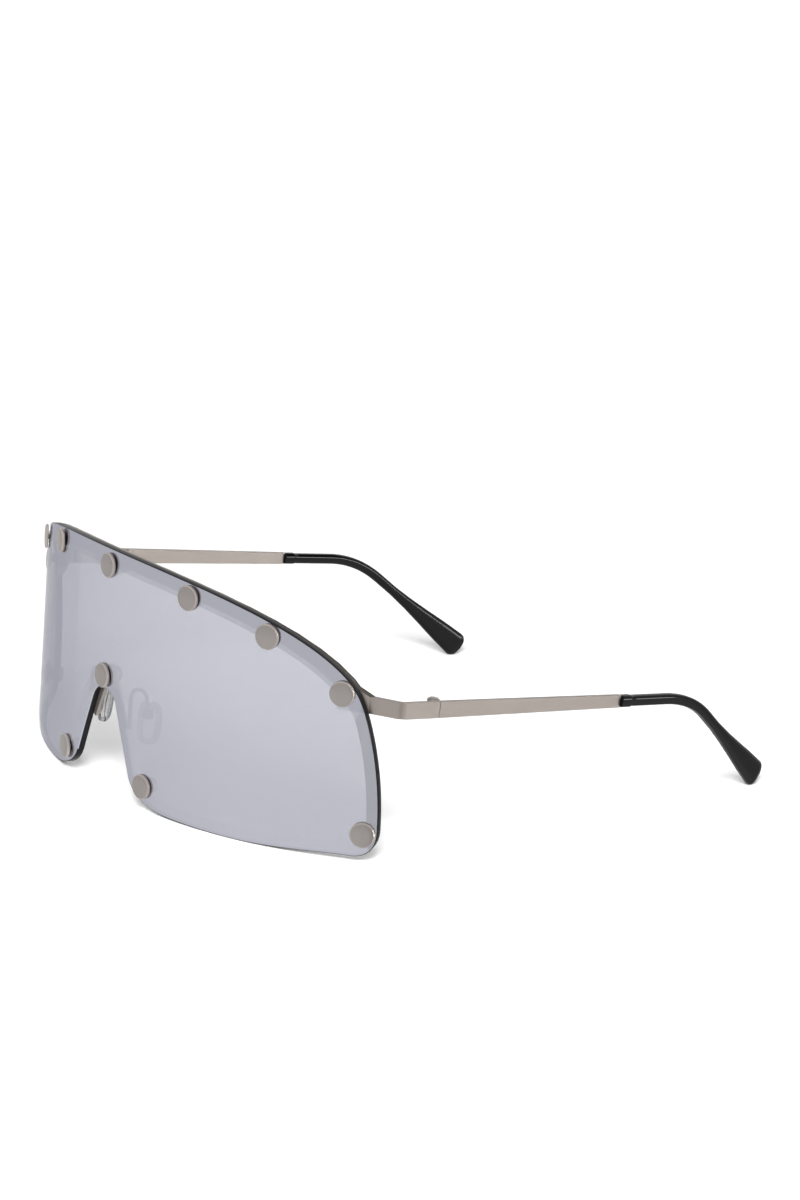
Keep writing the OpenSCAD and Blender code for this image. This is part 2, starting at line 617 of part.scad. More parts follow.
module pad_arm(left) color(nickel) stand() sided(left) {
    legs = [[arm_foot.x, arm_foot.y, bracket_foot_z],
        [arm_end.x, arm_end.y, arm_end.z - box_h / 2]];
    for (p = legs) translate(p)
        cylinder(r = wire_r, h = arm_top + seat - p.z, $fn = round_faces);
    translate([(arm_foot.x + arm_end.x) / 2, (arm_foot.y + arm_end.y) / 2, arm_top])
        rotate([90, 0, arm_turn]) rotate_extrude(angle = 180, $fn = round_faces)
            translate([arm_loop_r, 0]) circle(r = wire_r - fit, $fn = round_faces);
}
module at_pad(left) {
    stand() sided(left) translate(pad_pivot) rotate([0, 0, -pad_splay])
        rotate([0, -pad_lean, 0]) children();
}
module pad_box(left) color(nickel) at_pad(left) difference() {
    union() {
        translate([box_back, -box_w / 2, -box_h / 2]) cube([box_back_t, box_w, box_h]);
        for (y = [-box_w / 2, box_w / 2 - cheek_t]) translate([-cheek_front, y, -box_h / 2])
            cube([cheek_front + box_back + box_back_t, cheek_t, box_h]);
    }
    rotate([90, 0, 0]) translate([0, 0, -box_w])
        cylinder(r = pad_screw_r + fit, h = 2 * box_w, $fn = round_faces);
}
module pad_screw(left) color(nickel) at_pad(left) rotate([90, 0, 0]) {
    translate([0, 0, -box_w / 2])
        cylinder(r = pad_screw_r, h = box_w + fit + pad_screw_head_h / 2, $fn = round_faces);
    translate([0, 0, box_w / 2 + fit])
        cylinder(r = pad_screw_head_r, h = pad_screw_head_h, $fn = round_faces);
}
// A pad is three layers, each set in at its faces and at its edge by shares of its thickness
pad_points = 28;
pad_oval_share = 0.65;
function pad_outline(inset) = [for (k = [0:pad_points - 1])
    let (a = 360 * k / pad_points, c = cos(a), s = sin(a))
        [(pad_w / 2 - inset) * sign(c) * pow(abs(c), pad_oval_share),
            (pad_h / 2 - inset) * sign(s) * pow(abs(s), pad_oval_share)]];
pad_step_shares = [[0, 0.36], [0.12, 0.14], [0.36, 0]];
module nose_pad(left) color(clear) at_pad(left) {
    for (k = pad_step_shares) translate([-pad_out - pad_t / 2 + k[0] * pad_t, 0, -pivot_up])
        rotate([90, 0, 90]) linear_extrude(height = pad_t * (1 - 2 * k[0]))
            polygon(pad_outline(pad_t * k[1]));
    difference() {
        union() {
            translate([-pivot_out - fit, -lug_t / 2, -lug_r])
                cube([pivot_out + fit, lug_t, 2 * lug_r]);
            rotate([90, 0, 0]) translate([0, 0, -lug_t / 2])
                cylinder(r = lug_r, h = lug_t, $fn = round_faces);
        }
        rotate([90, 0, 0]) translate([0, 0, -lug_t])
            cylinder(r = pad_screw_r + pin_play, h = 2 * lug_t, $fn = round_faces);
    }
}

shield_lens();
brow_bar();
end_piece(true);  // end_piece_left
end_piece(false);  // end_piece_right
hinge_front(true);  // hinge_front_left
hinge_front(false);  // hinge_front_right
hinge_temple(true);  // hinge_temple_left
hinge_temple(false);  // hinge_temple_right
hinge_screw(true);  // hinge_screw_left
hinge_screw(false);  // hinge_screw_right
temple(true);  // temple_left
temple(false);  // temple_right
temple_tip(true);  // temple_tip_left
temple_tip(false);  // temple_tip_right
top_studs();
lower_studs();
bridge_stud();
lens_bushes();
back_nuts();
nose_bracket();
pad_arm(true);  // pad_arm_left
pad_arm(false);  // pad_arm_right
pad_box(true);  // pad_box_left
pad_box(false);  // pad_box_right
pad_screw(true);  // pad_screw_left
pad_screw(false);  // pad_screw_right
nose_pad(true);  // nose_pad_left
nose_pad(false);  // nose_pad_right
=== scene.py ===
import json
import math
from collections import namedtuple

import bmesh
import bpy
from bpy.props import FloatProperty, FloatVectorProperty, IntProperty, PointerProperty
from bpy.types import Operator, Panel, PropertyGroup
from mathutils import Matrix, Vector


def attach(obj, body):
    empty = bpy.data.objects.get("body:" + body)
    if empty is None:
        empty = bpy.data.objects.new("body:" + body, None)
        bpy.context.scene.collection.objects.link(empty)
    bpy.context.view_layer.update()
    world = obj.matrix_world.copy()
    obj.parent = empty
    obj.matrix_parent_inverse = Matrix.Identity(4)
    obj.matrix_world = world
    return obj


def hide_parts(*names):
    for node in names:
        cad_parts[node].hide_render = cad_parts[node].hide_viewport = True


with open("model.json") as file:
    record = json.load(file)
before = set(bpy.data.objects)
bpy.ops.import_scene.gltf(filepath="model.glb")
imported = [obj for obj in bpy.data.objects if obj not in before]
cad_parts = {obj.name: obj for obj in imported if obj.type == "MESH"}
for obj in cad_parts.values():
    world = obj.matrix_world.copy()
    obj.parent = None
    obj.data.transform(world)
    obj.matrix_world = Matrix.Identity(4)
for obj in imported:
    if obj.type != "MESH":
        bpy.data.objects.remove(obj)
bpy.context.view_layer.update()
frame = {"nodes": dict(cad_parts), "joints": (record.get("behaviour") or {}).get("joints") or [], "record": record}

bl_info = {
    "name": "Shield Sunglasses",
    "version": (1, 0, 0),
    "blender": (4, 5, 0),
    "location": "3D View > Sidebar > Sunglasses",
    "description": "Models shield sunglasses with a wrapped mirror lens, studs and folding temples",
    "category": "Add Mesh",
}

MM = 0.001
WELD = 0.001 * MM
# Long side of the camera's film, in millimetres
FILM_SIDE = 36
SIDES = ("left", "right")
TO_UPRIGHT = Matrix.Rotation(math.pi / 2, 4, "X")


def length(name, default, description):
    return FloatProperty(name=name, description=description, default=default, unit="LENGTH")


def angle(name, default, description):
    return FloatProperty(name=name, description=description, default=default, subtype="ANGLE")


def colour(name, default, description):
    return FloatVectorProperty(name=name, description=description, default=default, subtype="COLOR",
                               min=0, max=1)


class LensSizes(PropertyGroup):
    """The wrapped lens, measured round its curve"""

    width: length("Width", 163.2 * MM, "Width round the curve")
    height: length("Height", 59.8 * MM, "Height from the resting edge to the crown")
    thickness: length("Thickness", 2 * MM, "Thickness of the lens")
    radius: length("Radius", 105.8 * MM, "Radius of the front face")
    corner_in: length("Corner in", 9.4 * MM, "How far in the upper corner starts")
    corner_drop: length("Corner drop", 16.8 * MM, "How far below the crown it starts")
    shoulder_in: length("Shoulder in", 4.7 * MM, "How far in the upper corner ends")
    shoulder_drop: length("Shoulder drop", 24.5 * MM, "How far below the crown it ends")
    foot_height: length("Foot height", 7.6 * MM, "Height of the side's lower end")
    foot_in: length("Foot in", 6 * MM, "Length of the lower corner along the bottom")
    foot_lift: length("Foot lift", 1.5 * MM, "How far above the resting edge it ends")
    rest_out: length("Rest", 44 * MM, "How far out the lens rests")
    notch_height: length("Notch height", 25.6 * MM, "Height of the nose notch")
    notch_top_out: length("Notch top", 5.5 * MM, "Half width where the straight sides end")
    notch_top_drop: length("Notch top drop", 3.8 * MM, "How far below its top they end")
    notch_foot_out: length("Notch foot", 11.7 * MM, "Half width where they start")
    notch_foot_height: length("Notch foot height", 6.8 * MM, "Height of that foot")
    lobe_out: length("Lobe", 24 * MM, "How far out a lobe ends")
    lobe_lift: length("Lobe lift", 0.5 * MM, "Height of that place above the resting edge")
    border_brow: length("Border, brow", 4.3 * MM, "Width of the sloping border along the brow")
    border_side: length("Border, side", 2.7 * MM, "Width of the sloping border along the sides")
    border_base: length("Border, base", 3.3 * MM, "Width of the sloping border along the bottom")
    border_nose: length("Border, nose", 3.6 * MM, "Width of the sloping border round the notch")
    border_depth: length("Border depth", 0.35 * MM, "How far the border slopes back at the rim")
    flare: length("Flare", 0.45 * MM, "How far the sides flare out at the back")
    arris: length("Arris", 0.2 * MM, "Width of the polished arris along the rim")
    hole: length("Hole radius", 1.16 * MM, "Radius of the holes for the bushes")
    facet: length("Facet", 1 * MM, "Width of the strips that make up the curve")


class StudSizes(PropertyGroup):
    """The studs, as turned parts"""

    head_radius: length("Head radius", 3 * MM, "Radius of a stud's head")
    head_height: length("Head height", 0.7 * MM, "Height of a stud's head")
    head_front: length("Head front", 0.9 * MM, "How far the head's face stands before the lens")
    chamfer: length("Chamfer", 0.25 * MM, "Chamfer round the face")
    crown: length("Crown", 0.12 * MM, "How far the middle of the face stands out")
    shank_radius: length("Shank radius", 0.7 * MM, "Radius of the shank")
    bridge_up: length("Bridge stud", 3.15 * MM, "Height of the bridge stud above the notch")
    turns: IntProperty(name="Steps", description="Steps round a turned part", default=72)


class TipSizes(PropertyGroup):
    """The ear tips, in the frame of their hinge"""

    start: length("Start", 56.03 * MM, "Distance of the tip's start from the hinge")
    hinge_off: length("Offset", 2.17 * MM, "Distance of the temple from the hinge's axis")
    straight: length("Straight", 23.5 * MM, "Distance from the start to the bend's corner")
    drop: length("Drop", 39.5 * MM, "Distance from the corner to the middle of the rounded end")
    bend: angle("Bend", math.radians(34.1), "How far the tip bends down")
    inward: angle("Inward", math.radians(11.2), "How far the tip turns inwards")
    cut: length("Bend length", 8.6 * MM, "Length of the bend on either side of its corner")
    height: length("Height", 2.65 * MM, "Height at the start")
    thickness: length("Thickness", 2.7 * MM, "Thickness of the tip")
    paddle: length("Paddle", 6.8 * MM, "Height of the paddle")
    corner: length("Corner", 2.2 * MM, "Radius of the paddle's corners")
    collar: length("Collar", 3 * MM, "Length of the collar")
    collar_step: length("Collar step", 0.15 * MM, "How far the collar stands out")
    core_length: length("Core length", 12 * MM, "Length of the socket for the temple's core")


class PadSizes(PropertyGroup):
    """The nose pads, in the frame of their pivot"""

    width: length("Width", 5.8 * MM, "Width of a pad")
    height: length("Height", 10.4 * MM, "Height of a pad")
    thickness: length("Thickness", 2.2 * MM, "Thickness of a pad")
    pivot_out: length("Pivot out", 1.1 * MM, "Distance of the pivot behind the pad")
    pivot_up: length("Pivot up", 2.6 * MM, "Distance of the pivot above the pad's middle")
    splay: angle("Splay", math.radians(40), "How far the pads face the rear")
    lean: angle("Lean", math.radians(7), "How far the pads lean in at the top")
    rim_width: length("Rim width", 0.5 * MM, "Width of the flat rim round the web")
    web_depth: length("Web depth", 0.6 * MM, "How far the web lies below the rim")
    lug_radius: length("Lug radius", 0.8 * MM, "Radius of the lug")
    lug_width: length("Lug width", 1.2 * MM, "Width of the lug")


class Finishes(PropertyGroup):
    """Colours of the finishes, with lighter copies of the nickel on the studs' chamfer and wall as painted light
    """

    mirror: colour("Mirror", (0.535, 0.54, 0.61), "Mirror coat of the lens")
    smoke: colour("Smoke", (0.13, 0.13, 0.15), "Tint of the lens seen from behind")
    rim: colour("Rim", (0.006, 0.006, 0.007), "Blackened rim of the lens")
    nickel: colour("Nickel", (0.40, 0.355, 0.325), "Satin nickel of the strips")
    stud: colour("Stud face", (0.375, 0.345, 0.33), "Satin nickel of the studs' faces")
    # Painted highlight: the chamfer ring gets a lighter nickel than the face, standing in for the light it catches
    chamfer: colour("Stud chamfer", (0.58, 0.515, 0.47), "Polished chamfer of the studs")
    # Painted light: the side wall gets a nickel about twice as bright as the face, standing in for light on the
    # wall
    wall: colour("Stud wall", (0.7, 0.64, 0.6), "Bright wall of the studs")
    steel: colour("Steel", (0.50, 0.48, 0.45), "Bright steel of the screws")
    acetate: colour("Acetate", (0.002, 0.002, 0.0022), "Black of the ear tips")
    silicone: colour("Silicone", (0.98, 0.98, 0.99), "Clear silicone and clear bushes")


class StudioSizes(PropertyGroup):
    """The camera's place, aim and lens"""

    azimuth: angle("Azimuth", math.radians(53.68), "Camera's turn from the front")
    elevation: angle("Elevation", math.radians(14.845), "Camera's height above the horizon")
    roll: angle("Roll", math.radians(3.681), "Camera's roll")
    distance: length("Distance", 983.5 * MM, "Distance from the camera to its target")
    target: FloatVectorProperty(name="Target", description="Point at the middle of the view",
                                default=(-61.796 * MM, 54.389 * MM, 18.193 * MM),
                                subtype="XYZ", unit="LENGTH")
    focal: FloatProperty(name="Focal length", description="In millimetres, for FILM_SIDE",
                         default=107.88)


def settings(group):
    """One of the property groups on the scene"""
    return getattr(bpy.context.scene, "sunglasses_" + group)


# Places in the frame

def joint(name):
    """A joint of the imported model"""
    return next(j for j in frame["joints"] if j["name"] == name)


def lens_frame():
    """From the upright lens, with its lowest edge at z = 0 and its front at y = 0, to the row frame"""
    axis = joint("nose_pad_left_rock")["axis"]
    tilt = Matrix.Rotation(math.atan2(axis[2], axis[1]), 4, "X")
    stud = [tilt.inverted() @ v.co for v in frame["nodes"]["bridge_stud"].data.vertices]
    ys, zs = [p.y for p in stud], [p.z for p in stud]
    height = settings("lens").notch_height + settings("studs").bridge_up
    return tilt @ Matrix.Translation((0, min(ys) + settings("studs").head_front,
                                      (min(zs) + max(zs)) / 2 - height))


def axes_frame(place, x, y, z):
    """A frame with these axes at a place"""
    frame_matrix = Matrix((x, y, z)).transposed().to_4x4()
    frame_matrix.translation = place
    return frame_matrix


def hinge_frame():
    """The left hinge: z up its screw, y down the temple, x outwards"""
    fold = joint("temple_left_fold")
    flat = next(m for m in frame["record"]["mounts"] if m["name"] == "temple_flat_left")
    z, x = Vector(fold["axis"]).normalized(), Vector(flat["axis"]).normalized()
    return axes_frame(Vector(fold["pos_m"]), x, z.cross(x), z)


def pad_frame():
    """The left pad's pivot: y along its screw, x away from the nose"""
    pads = settings("pads")
    splay, lean = Matrix.Rotation(-pads.splay, 3, "Z"), Matrix.Rotation(-pads.lean, 3, "Y")
    place = (lens_frame().to_3x3() @ splay @ lean).to_4x4()
    place.translation = joint("nose_pad_left_rock")["pos_m"]
    return place


def on_lens(out, up):
    """The frame of a place on the lens's front: z outwards, y up"""
    radius = settings("lens").radius
    return (Matrix.Translation((0, radius, up)) @ Matrix.Rotation(out / radius, 4, "Z")
            @ Matrix.Translation((0, -radius, 0)) @ TO_UPRIGHT)


def solids(node):
    """The separate solids of a node, each as a list of points"""
    bm = bmesh.new()
    bm.from_mesh(frame["nodes"][node].data)
    bmesh.ops.remove_doubles(bm, verts=bm.verts, dist=WELD)
    left, found = set(bm.verts), []
    while left:
        group, front = set(), [left.pop()]
        while front:
            vert = front.pop()
            group.add(vert)
            near = [e.other_vert(vert) for e in vert.link_edges]
            front += [v for v in near if v in left]
            left -= set(near)
        found.append([v.co.copy() for v in group])
    bm.free()
    if not found:
        raise RuntimeError(f"{node} holds no solid")
    return found


def seats(node):
    """Where the node's turned parts sit on the lens: (out, up, lowest, highest) along each axis"""
    lens, radius, found = lens_frame().inverted(), settings("lens").radius, []
    for points in solids(node):
        local = [lens @ p for p in points]
        middle = sum(local, Vector()) / len(local)
        out = radius * math.atan2(middle.x, radius - middle.y)
        for _ in range(2):
            place = on_lens(out, 0).inverted()
            seen = [place @ p for p in local]
            out += (min(p.x for p in seen) + max(p.x for p in seen)) / 2
        up = (min(p.y for p in seen) + max(p.y for p in seen)) / 2
        found.append((out, up, min(p.z for p in seen), max(p.z for p in seen)))
    return sorted(found)


# Mesh tools

def chain(bm, points):
    """Edges that join the points in order"""
    verts = [bm.verts.new(p) for p in points]
    return [bm.edges.new(pair) for pair in zip(verts, verts[1:])]


def round_edges(bm, width, angle=30, segments=2):
    """Rounds every edge that is sharper than the angle, in degrees"""
    bm.normal_update()
    sharp = [e for e in bm.edges if e.is_manifold and e.calc_face_angle() > math.radians(angle)]
    bmesh.ops.bevel(bm, geom=sharp, offset=width, offset_type="OFFSET", affect="EDGES",
                    segments=segments, profile=0.5, material=-1, clamp_overlap=True)


def turned(bm, profile, steps, place, kinds=()):
    """Spins a profile of (radius, height) about the z axis of a place, with a material for each stretch"""
    verts = [bm.verts.new((r, 0, h)) for r, h in profile]
    edges = [bm.edges.new(pair) for pair in zip(verts, verts[1:])]
    before = set(bm.verts) - set(verts)
    bmesh.ops.spin(bm, geom=verts + edges, cent=(0, 0, 0), axis=(0, 0, 1), angle=math.tau,
                   steps=steps, use_merge=True)
    made = [v for v in bm.verts if v not in before]
    bmesh.ops.remove_doubles(bm, verts=made, dist=WELD)
    made = [v for v in bm.verts if v not in before]
    faces = list({f for v in made for f in v.link_faces})
    bmesh.ops.recalc_face_normals(bm, faces=faces)
    for face in faces:
        height = face.calc_center_median().z
        for kind, (low, high) in enumerate(kinds):
            if low < height < high:
                face.material_index = kind
    bmesh.ops.transform(bm, verts=made, matrix=place)


def new_piece(name, bm, materials, body, nodes, smooth=math.radians(32)):
    """Makes a piece from a mesh in the row frame, and puts it in the place of its nodes"""
    if not bm.faces:
        raise RuntimeError(f"{name} has no faces")
    mesh = bpy.data.meshes.new(name)
    bm.to_mesh(mesh)
    bm.free()
    for material in materials:
        mesh.materials.append(material)
    mesh.shade_smooth()
    if smooth is not None:
        mesh.set_sharp_from_angle(angle=smooth)
    piece = bpy.data.objects.new(name, mesh)
    bpy.context.scene.collection.objects.link(piece)
    if smooth is not None:
        evened = piece.modifiers.new("Even flats", "WEIGHTED_NORMAL")
        evened.keep_sharp = True
    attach(piece, body)
    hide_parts(*nodes)
    return piece


def rounded_copy(node, width):
    """A node's mesh, welded, with its flat faces joined and its edges rounded"""
    bm = bmesh.new()
    bm.from_mesh(frame["nodes"][node].data)
    bmesh.ops.remove_doubles(bm, verts=bm.verts, dist=WELD)
    bmesh.ops.dissolve_limit(bm, angle_limit=math.radians(0.5), verts=bm.verts, edges=bm.edges)
    round_edges(bm, width)
    return bm


def mirrored(bm):
    """The other side's copy of a left-hand mesh"""
    copy = bm.copy()
    bmesh.ops.scale(copy, verts=copy.verts, vec=(-1, 1, 1))
    bmesh.ops.reverse_faces(copy, faces=copy.faces)
    return copy


def dress(node, material):
    """Gives a node whose shape stays its material"""
    mesh = frame["nodes"][node].data
    mesh.materials.clear()
    mesh.materials.append(material)


# Shader tools

class Shader:
    """Adds and links nodes in one material, group or world"""

    def __init__(self, tree):
        self.tree = tree

    def add(self, kind, values=None, **options):
        node = self.tree.nodes.new("ShaderNode" + kind)
        for option, value in options.items():
            setattr(node, option, value)
        for socket, value in (values or {}).items():
            if isinstance(value, bpy.types.NodeSocket):
                self.tree.links.new(value, node.inputs[socket])
            else:
                node.inputs[socket].default_value = value
        return node

    def maths(self, operation, *values):
        return self.add("Math", dict(enumerate(values)), operation=operation).outputs[0]

    def ramp(self, value, low, high, start, end, **options):
        """Goes from start to end while the value goes from low to high"""
        limits = {"Value": value, "From Min": low, "From Max": high, "To Min": start, "To Max": end}
        return self.add("MapRange", limits, **options).outputs[0]

    def ramp_degrees(self, value, low, high, start, end):
        return self.ramp(value, math.radians(low), math.radians(high), start, end)

    def vary(self, value, start, end):
        return self.ramp(value, 0, 1, start, end)

    def noise(self, place, scale, detail, roughness=0.5):
        return self.add("TexNoise", {"Vector": place, "Scale": scale, "Detail": detail,
                                     "Roughness": roughness}).outputs["Fac"]

    def scaled(self, colour, factor):
        return self.add("VectorMath", {0: colour, "Scale": factor}, operation="SCALE").outputs[0]

    def object_place(self):
        return self.add("TexCoord").outputs["Object"]

    def principled(self, **values):
        """Closes the material with a Principled BSDF: an underscore stands for a space"""
        sockets = {name.replace("_", " "): value for name, value in values.items()}
        self.close(self.add("BsdfPrincipled", sockets).outputs[0])

    def close(self, surface):
        self.add("OutputMaterial", {"Surface": surface})


def opaque(colour):
    return (*colour, 1)


def new_material(name):
    """A material and its shader tools, with only its output node"""
    material = bpy.data.materials.new(name)
    material.use_nodes = True
    material.node_tree.nodes.clear()
    return material, Shader(material.node_tree)


def group_tree(name, inputs, outputs):
    """A new node group with its sockets: (tools, input sockets, output node)"""
    tree = bpy.data.node_groups.new(name, "ShaderNodeTree")
    for socket, (kind, default) in inputs.items():
        made = tree.interface.new_socket(socket, in_out="INPUT", socket_type="NodeSocket" + kind)
        if default is not None:
            made.default_value = default
    for socket, kind in outputs.items():
        tree.interface.new_socket(socket, in_out="OUTPUT", socket_type="NodeSocket" + kind)
    shader = Shader(tree)
    entry = tree.nodes.new("NodeGroupInput")
    leave = tree.nodes.new("NodeGroupOutput")
    return tree, shader, entry.outputs, leave


def satin_group():
    """Satin brushing: fine lines along one axis over a fine blasted grain"""
    name = "Satin brushing"
    if name in bpy.data.node_groups:
        return bpy.data.node_groups[name]
    tree, shader, given, leave = group_tree(
        name, {"Vector": ("Vector", None), "Lines": ("Float", 0.5), "Grain": ("Float", 0.5),
               "Colour": ("Color", (0.4, 0.36, 0.33, 1)), "Roughness": ("Float", 0.35)},
        {"Colour": "Color", "Roughness": "Float", "Height": "Float"})
    lines = shader.noise(given["Vector"], 4000, 2, 0.6)
    grain = shader.noise(given["Vector"], 9000, 1)
    cloud = shader.noise(given["Vector"], 260, 3)
    deep = shader.maths("MULTIPLY", lines, given["Lines"])
    fine = shader.maths("MULTIPLY", grain, given["Grain"])
    streak = shader.vary(lines, 0.95, 1.05)
    tone = shader.maths("MULTIPLY", shader.vary(cloud, 0.93, 1.07), streak)
    results = {"Colour": shader.scaled(given["Colour"], tone),
               "Roughness": shader.maths("MULTIPLY", given["Roughness"], streak),
               "Height": shader.maths("ADD", deep, fine)}
    for socket, result in results.items():
        shader.tree.links.new(result, leave.inputs[socket])
    return tree


def metal(name, colour, roughness, stretch, lines=0.5, grain=0.4):
    """Satin or polished metal: stretch draws the brushing out along an axis"""
    if name in bpy.data.materials:
        return bpy.data.materials[name]
    material, shader = new_material(name)
    along = shader.add("Mapping", {"Vector": shader.object_place(), "Scale": stretch})
    satin = shader.add("Group", node_tree=satin_group())
    finish = {"Lines": lines, "Grain": grain, "Colour": opaque(colour), "Roughness": roughness}
    for socket, value in finish.items():
        satin.inputs[socket].default_value = value
    shader.tree.links.new(along.outputs[0], satin.inputs["Vector"])
    bump = shader.add("Bump", {"Strength": 0.25, "Distance": 0.01 * MM, "Height": satin.outputs["Height"]})
    shader.principled(Base_Color=satin.outputs["Colour"], Metallic=1, Normal=bump.outputs[0],
                      Roughness=satin.outputs["Roughness"])
    return material


def strip_nickel(way):
    stretch = {"x": (0.05, 1, 1), "y": (1, 0.05, 1)}[way]
    return metal("strip_nickel_" + way, settings("finishes").nickel, 0.36, stretch)


def stud_face():
    return metal("stud_face", settings("finishes").stud, 0.24, (1, 1, 0.3), lines=0.5, grain=0.8)


# A lighter copy of the stud nickel for the chamfer ring: painted highlight
def stud_chamfer():
    return metal("stud_chamfer", settings("finishes").chamfer, 0.42, (1, 1, 1), lines=0.1, grain=0.2)


# A brighter copy of the stud nickel for the side wall: painted light
def stud_wall():
    return metal("stud_wall", settings("finishes").wall, 0.42, (1, 1, 1), lines=0.2, grain=0.2)


def hinge_nickel():
    return metal("hinge_nickel", settings("finishes").nickel, 0.30, (1, 1, 1), lines=0.15)


def screw_steel():
    return metal("screw_steel", settings("finishes").steel, 0.22, (1, 1, 1), lines=0.1, grain=0.1)


def coated(name, tone, roughness, cover):
    """Silver flash coat: a mirror from the front, smoke from behind"""
    finishes = settings("finishes")
    material, shader = new_material(name)
    haze = shader.noise(shader.object_place(), 55, 3, 0.6)
    coat = shader.scaled(finishes.mirror, shader.vary(haze, 0.985 * tone, 1.015 * tone))
    back = shader.add("NewGeometry").outputs["Backfacing"]
    seen = shader.add("Mix", {0: back, 6: coat, 7: opaque(finishes.smoke)}, data_type="RGBA").outputs[2]
    shader.principled(Base_Color=seen, Metallic=1, Alpha=shader.vary(back, cover, 0.6),
                      Roughness=shader.vary(haze, 0.6 * roughness, 1.4 * roughness),
                      Specular_Tint=(0.75, 0.75, 0.8, 1))
    return material


def mirror_coat():
    return coated("mirror_coat", 1, 0.02, 0.88)


def border_coat():
    return coated("border_coat", 1, 0.06, 0.92)


# Partly painted highlight: the rounded arris at the notch is real, and its coat is made 1.15 times as bright as
# the mirror to draw a light line
def arris_coat():
    return coated("arris_coat", 1.15, 0.3, 1)


def lens_inner():
    """Inner face of the lens: clear gloss with a light smoke tint"""
    material, shader = new_material("lens_inner")
    haze = shader.noise(shader.object_place(), 80, 3)
    shader.principled(Base_Color=opaque(settings("finishes").smoke), Alpha=0.3,
                      Roughness=shader.vary(haze, 0.03, 0.08))
    return material


def lens_rim():
    """Blackened, polished rim of the lens"""
    material, shader = new_material("lens_rim")
    marks = shader.noise(shader.object_place(), 900, 2)
    shader.principled(Base_Color=opaque(settings("finishes").rim), Specular_IOR_Level=0.15,
                      Roughness=shader.vary(marks, 0.25, 0.4))
    return material


def black_acetate():
    """Black acetate: polished along the shaft, satin on the paddle"""
    name = "black_acetate"
    if name in bpy.data.materials:
        return bpy.data.materials[name]
    material, shader = new_material(name)
    place = shader.object_place()
    grain = shader.noise(place, 1400, 3, 0.6)
    scuffs = shader.noise(place, 180, 4)
    along = shader.add("SeparateXYZ", {"Vector": place}).outputs["Y"]
    satin = shader.ramp(along, 25 * MM, 60 * MM, 0.08, 0.2)
    bump = shader.add("Bump", {"Strength": 0.15, "Distance": 0.01 * MM, "Height": grain})
    shader.principled(Base_Color=opaque(settings("finishes").acetate), Normal=bump.outputs[0],
                      Roughness=shader.maths("MULTIPLY", shader.vary(scuffs, 0.9, 1.1), satin),
                      Specular_IOR_Level=0.23)
    return material


def silicone(name, tint):
    """Clear, slightly milky silicone"""
    if name in bpy.data.materials:
        return bpy.data.materials[name]
    material, shader = new_material(name)
    haze = shader.noise(shader.object_place(), 500, 3)
    shader.principled(Base_Color=opaque(tint), IOR=1.41, Transmission_Weight=1,
                      Roughness=shader.vary(haze, 0.05, 0.12))
    return material


def clear_silicone():
    return silicone("clear_silicone", settings("finishes").silicone)


# Painted shade: a copy of the clear silicone at half the tint for the pads' rim, standing in for the dark edge a
# clear pad shows
def rim_silicone():
    return silicone("rim_silicone", [0.5 * c for c in settings("finishes").silicone])


# The lens

Knot = namedtuple("Knot", "place heading before after border steps")
FRONT, BORDER, ARRIS, RIM, INNER = range(5)


def lens_knots():
    """Knots of the right half of the outline, from the crown round to the top of the notch"""
    s = settings("lens")
    half = s.width / 2
    notch_top = Vector((s.notch_top_out, s.notch_height - s.notch_top_drop))
    notch_foot = Vector((s.notch_foot_out, s.notch_foot_height))
    side = notch_top - notch_foot
    side_heading = math.degrees(math.atan2(side.y, side.x))
    return [
        Knot(Vector((0, s.height)), 0, 0, 0.46, s.border_brow, 44),
        Knot(Vector((half - s.corner_in, s.height - s.corner_drop)), -42.5, 0.215, 0.32,
             s.border_brow, 16),
        Knot(Vector((half - s.shoulder_in, s.height - s.shoulder_drop)), -70, 0.32, 0.3,
             s.border_side, 24),
        Knot(Vector((half, s.foot_height)), -90, 0.36, 0.45, s.border_side, 18),
        Knot(Vector((half - s.foot_in, s.foot_lift)), 180, 0.42, 0.3, s.border_base, 24),
        Knot(Vector((s.rest_out, 0)), 180, 0.41, 0.4, s.border_base, 16),
        Knot(Vector((s.lobe_out, s.lobe_lift)), 175, 0.2, 0.47, s.border_base, 26),
        Knot(notch_foot, side_heading, 0.26, 0.33, s.border_nose, 8),
        Knot(notch_top, side_heading, 0.33, 0.47, s.border_nose, 20),
        Knot(Vector((0, s.notch_height)), 180, 0.39, 0, s.border_nose, 0)]


def lens_lines():
    """Points over the right half of the border's inner line, the rim and the back edge: (out, depth, up)"""
    s, knots = settings("lens"), lens_knots()
    line, rim, back = [], [], []
    for here, then in zip(knots, knots[1:]):
        reach = (then.place - here.place).length
        headings = [math.radians(knot.heading) for knot in (here, then)]
        ways = [Vector((math.cos(heading), math.sin(heading))) for heading in headings]
        a, d = here.place, then.place
        b, c = a + here.after * reach * ways[0], d - then.before * reach * ways[1]
        for step in range(here.steps + (then is knots[-1])):
            t = step / here.steps
            point = ((1 - t) ** 3 * a + 3 * (1 - t) ** 2 * t * b + 3 * (1 - t) * t ** 2 * c
                     + t ** 3 * d)
            way = (1 - t) ** 2 * (b - a) + 2 * (1 - t) * t * (c - b) + t ** 2 * (d - c)
            outward = Vector((-way.y, way.x)).normalized()
            inner = point - ((1 - t) * here.border + t * then.border) * outward
            outer = point + s.flare * outward.x ** 4 * min(1, 1 + outward.y) * outward
            line.append((inner.x, 0, inner.y))
            rim.append((point.x, s.border_depth, point.y))
            back.append((outer.x, s.thickness, outer.y))
    return line, rim, back


def loop_between(bm, kinds):
    """The edges where faces of these two kinds meet"""
    return [e for e in bm.edges if {f.material_index for f in e.link_faces} == set(kinds)]


